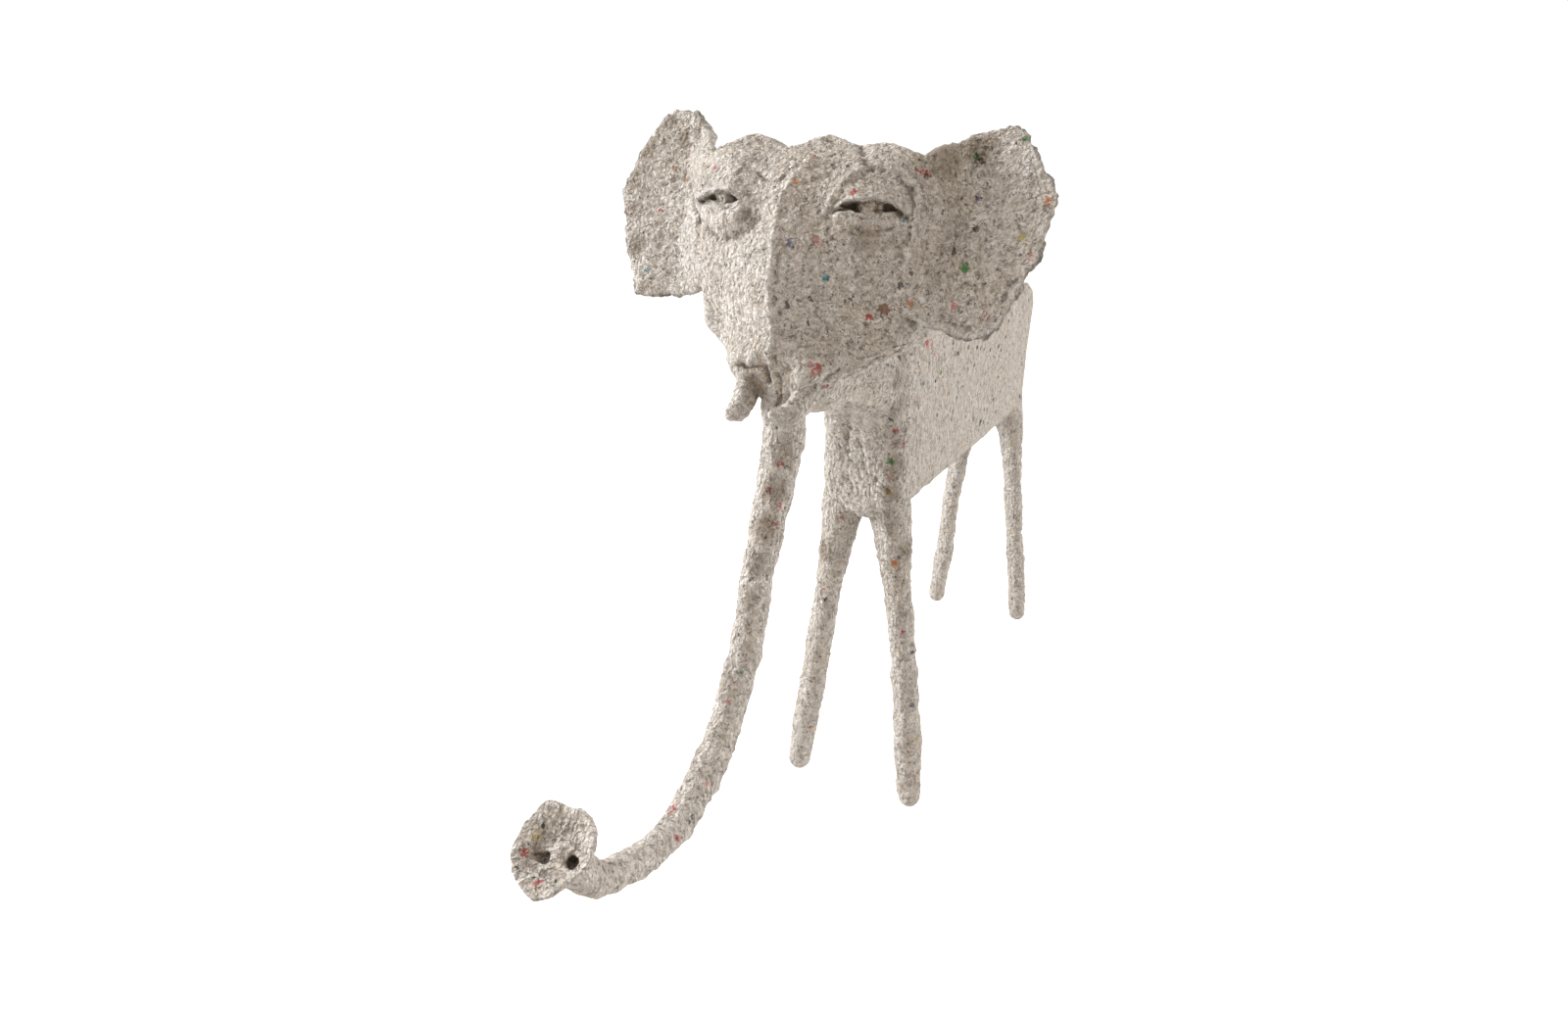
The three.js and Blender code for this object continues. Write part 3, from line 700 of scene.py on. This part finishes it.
def thin_lines(n, place, size, width, seed_shift):
    """Thin winding threads: 1 on a thread and 0 beside it."""
    shift = (seed_shift, -seed_shift, 2 * seed_shift)
    moved = n.add("VectorMath", {0: place, 1: shift}, operation="ADD").outputs[0]
    field = n.noise(moved, size, 1.5, 0.5, 0.4).outputs[0]
    off = n.math("ABSOLUTE", n.math("SUBTRACT", field, 0.5))
    return n.ramp(off, width, 0.15 * width)


def make_pulp():
    n = Nodes("paper_pulp")
    place = n.add("TexCoord").outputs["Object"]
    stir = n.noise(place, 5 * MM, 2.0).outputs["Color"]
    bent = n.shift(place, stir, 1.2 * MM)
    torn = n.shift(place, n.noise(place, 1.7 * MM, 3.0, 0.6).outputs["Color"], 2.2 * MM)

    patches = n.noise(place, 38 * MM, 3.0, 0.55).outputs[0]
    colour = n.blend(n.ramp(patches, 0.40, 0.64, 0.0, 0.8), PULP, PULP_WARM)
    mottle = n.noise(bent, 7.5 * MM, 3.0, 0.55, 0.5).outputs[0]
    colour = n.blend(n.ramp(mottle, 0.50, 0.72, 0.0, 0.38), colour, PULP_DARK)
    colour = n.blend(n.ramp(mottle, 0.50, 0.30, 0.0, 0.60), colour, PULP_PALE)

    grain = n.noise(bent, 2.1 * MM, 3.0, 0.62, 0.6).outputs[0]
    colour = n.blend(n.ramp(grain, 0.52, 0.68, 0.0, 0.42), colour, PULP_DARK)
    colour = n.blend(n.ramp(grain, 0.48, 0.32, 0.0, 0.45), colour, PULP_PALE)

    threads = [
        thin_lines(n, n.stretch(bent, (1.0, 1.0, 0.45)), 3.6 * MM, 0.030, 0.0),
        thin_lines(n, n.stretch(bent, (0.5, 0.7, 1.0)), 3.2 * MM, 0.032, 0.37),
        thin_lines(n, bent, 2.6 * MM, 0.030, 0.71),
    ]
    for thread in threads:
        colour = n.blend(n.math("MULTIPLY", thread, 0.42), colour, PULP_PALE)
    # Fine cracks, pressed in by the bump and darkened with painted shade
    cracks = thin_lines(n, bent, 5.2 * MM, 0.020, 1.13)
    gaps = n.ramp(n.noise(place, 9 * MM, 1.0).outputs[0], 0.50, 0.62)
    colour = n.blend(n.math("MULTIPLY", n.math("MULTIPLY", cracks, gaps), 0.65), colour, PAINTED_SHADE)

    scraps = thin_lines(n, torn, 4.0 * MM, 0.050, 1.71)
    short = n.ramp(n.noise(torn, 3.6 * MM, 1.0).outputs[0], 0.53, 0.60)
    colour = n.blend(n.math("MULTIPLY", n.math("MULTIPLY", scraps, short), 0.80), colour, SPECK)

    crowd = n.ramp(n.noise(place, 14 * MM, 2.0, 0.6).outputs[0], 0.36, 0.66, 0.30, 1.0)
    blots = n.ramp(n.noise(torn, 1.9 * MM, 2.0, 0.5, 0.8).outputs[0], 0.60, 0.68)
    flank = n.add("Attribute", attribute_name="flank").outputs["Fac"]
    dots = n.math("MULTIPLY", n.math("MULTIPLY", blots, crowd), n.ramp(flank, 0.0, 1.0, 0.85, 0.40))
    colour = n.blend(dots, colour, SPECK)
    drawn_out = n.stretch(n.shift(torn, stir, 0.8 * MM), (1.0, 1.0, 0.6))
    for size, chance, radius, tone, strength in (
        (3.1, 0.45, 0.27, SPECK, 0.85),
        (6.0, 0.50, 0.21, DEEP_SPECK, 0.85),
        (13.0, 0.50, 0.13, DEEP_SPECK, 0.80),
    ):
        depth, share = chosen_cells(n, drawn_out, size * MM, chance, radius)
        faint = n.ramp(share, 0.0, 1.0, 0.5 * strength, strength)
        speck = n.math("MULTIPLY", n.ramp(depth, 0.0, 0.07), faint)
        colour = n.blend(speck, colour, tone)

    depth, share = chosen_cells(n, n.stretch(torn, (1.0, 0.42, 0.60)), 6.5 * MM, 0.45, 0.30)
    dash = n.math("MULTIPLY", n.ramp(depth, 0.0, 0.05), n.ramp(share, 0.0, 1.0, 0.5, 1.0))
    colour = n.blend(n.math("MULTIPLY", dash, flank), colour, FLANK_DASH)

    for size, chance, radius, strength in ((26, 0.45, 0.085, 0.8), (12, 0.60, 0.085, 0.55)):
        depth, share = chosen_cells(n, torn, size * MM, chance, radius)
        hue = n.add("ValToRGB", {0: share})
        hue.color_ramp.interpolation = "CONSTANT"
        while len(hue.color_ramp.elements) < len(FLECK_COLOURS):
            hue.color_ramp.elements.new(1.0)
        for k, tone in enumerate(FLECK_COLOURS.values()):
            hue.color_ramp.elements[k].position = k / len(FLECK_COLOURS)
            hue.color_ramp.elements[k].color = (*tone, 1)
        colour = n.blend(n.ramp(depth, 0.0, 0.03, 0.0, strength), colour, hue.outputs[0])
    ragged = n.shift(place, n.noise(place, 2.4 * MM, 2.0, 0.6).outputs["Color"], 4.5 * MM)
    for name, flecks in FLECKS.items():
        mask = n.math("MULTIPLY", fleck_mask(n, ragged, flecks), 0.85)
        colour = n.blend(mask, colour, (*FLECK_COLOURS[name], 1))

    # Painted shade in the pits and a painted highlight on the crests, from how far the skin stands out
    relief = n.add("Attribute", attribute_name="relief").outputs["Fac"]
    colour = n.blend(n.ramp(relief, 0.47, 0.10, 0.0, 0.62), colour, PAINTED_SHADE)
    colour = n.blend(n.ramp(relief, 0.56, 0.90, 0.0, 0.40), colour, PULP_PALE)
    # Darker spots: painted shade under the eyes, on the ears, down the chest's right corner and beside the
    # nostrils, and darker patches of the pulp on the trunk and legs
    shade_and_stain = n.add("Attribute", attribute_name="shade_and_stain").outputs["Fac"]
    shade_and_stain_mix = n.math("MULTIPLY", shade_and_stain, n.ramp(patches, 0.30, 0.62, 0.60, 1.0))
    colour = n.blend(shade_and_stain_mix, colour, n.blend(1.0, colour, SHADE_AND_STAIN_TINT, "MULTIPLY"))
    # Painted shade on the ears' edge faces, broken up by the grain
    rim = n.add("Attribute", attribute_name="rim").outputs["Fac"]
    rim_shade = n.math("MULTIPLY", rim, n.ramp(grain, 0.40, 0.54, 0.25, 0.85))
    colour = n.blend(rim_shade, colour, PAINTED_SHADE)

    face = n.add("Attribute", attribute_name="face").outputs["Fac"]
    drawn = n.crests(n.stretch(bent, (1.0, 1.0, 0.42)), 4.0 * MM)
    curls = n.add("Mix", {0: face, 2: drawn, 3: n.crests(bent, 4.4 * MM)}).outputs[0]
    # Painted shade in the low parts between the winding crests, which the bump raises
    colour = n.blend(n.ramp(curls, 0.42, 0.18, 0.0, 0.62), colour, PULP_DARK)
    height = n.math("MULTIPLY", n.noise(bent, 2.2 * MM, 3.0, 0.60, 0.5).outputs[0], 1.5)
    height = n.math("ADD", height, n.math("MULTIPLY", curls, 1.5))
    for thread in threads:
        height = n.math("ADD", height, n.math("MULTIPLY", thread, 0.22))
    height = n.math("SUBTRACT", height, n.math("MULTIPLY", blots, 0.30))
    height = n.math("SUBTRACT", height, n.math("MULTIPLY", cracks, 0.25))
    bump = n.add("Bump", {"Strength": 1.0, "Distance": 1.5 * MM, "Height": height}).outputs[0]

    shader = n.add("BsdfPrincipled", {"Base Color": colour, "Roughness": 0.96, "Normal": bump})
    shader.inputs["Specular IOR Level"].default_value = 0.15
    output = n.add("OutputMaterial")
    n.tree.links.new(shader.outputs[0], output.inputs["Surface"])
    return n.material


skin.data.materials.clear()
skin.data.materials.append(make_pulp())


# Floor, light and air

CENTRE = (0.0, 0.0, 0.35)
KEY_COLOUR = (0.94, 1.0, 1.09)
AIR_COLOUR = (1.16, 1.0, 0.84, 1)
AIR_STRENGTH = 0.45
# The ground and the air as the camera alone sees them
FLOOR_GLOW = 0.75
WHITE_STRENGTH = 1.05


def make_floor():
    bpy.ops.mesh.primitive_plane_add(size=12, location=(0, 0, 0))
    floor = bpy.context.object
    floor.name = "floor"
    n = Nodes("floor_white")
    seen = n.add("LightPath").outputs["Is Camera Ray"]
    shader = n.add("BsdfPrincipled", {"Base Color": (0.90, 0.90, 0.90, 1), "Roughness": 0.9})
    shader.inputs["Emission Color"].default_value = (1, 1, 1, 1)
    n.tree.links.new(n.math("MULTIPLY", seen, FLOOR_GLOW), shader.inputs["Emission Strength"])
    output = n.add("OutputMaterial")
    n.tree.links.new(shader.outputs[0], output.inputs["Surface"])
    floor.data.materials.append(n.material)


def make_lamp(name, place, size, watts):
    data = bpy.data.lights.new(name, "AREA")
    data.shape = "RECTANGLE"
    data.size, data.size_y = size
    data.energy = watts
    data.color = KEY_COLOUR
    lamp = bpy.data.objects.new(name, data)
    lamp.location = place
    lamp.rotation_euler = (Vector(CENTRE) - Vector(place)).to_track_quat("-Z", "Y").to_euler()
    lamp.visible_camera = False
    bpy.context.scene.collection.objects.link(lamp)


def make_light():
    make_lamp("key_left", (-1.55, -0.50, 1.00), (0.8, 0.8), 44)
    make_lamp("soft_top", (-0.30, -0.90, 2.10), (0.9, 0.7), 15)
    make_lamp("side_right", (2.50, 1.90, 1.15), (2.0, 1.6), 78)
    world = bpy.data.worlds.new("studio")
    world.use_nodes = True
    tree = world.node_tree
    air = tree.nodes["Background"]
    air.inputs["Color"].default_value = AIR_COLOUR
    air.inputs["Strength"].default_value = AIR_STRENGTH
    white = tree.nodes.new("ShaderNodeBackground")
    white.inputs["Color"].default_value = (1, 1, 1, 1)
    white.inputs["Strength"].default_value = WHITE_STRENGTH
    path = tree.nodes.new("ShaderNodeLightPath")
    choice = tree.nodes.new("ShaderNodeMixShader")
    tree.links.new(path.outputs["Is Camera Ray"], choice.inputs[0])
    tree.links.new(air.outputs[0], choice.inputs[1])
    tree.links.new(white.outputs[0], choice.inputs[2])
    tree.links.new(choice.outputs[0], tree.nodes["World Output"].inputs["Surface"])
    bpy.context.scene.world = world


make_floor()
make_light()
bpy.context.scene.view_settings.view_transform = "Standard"
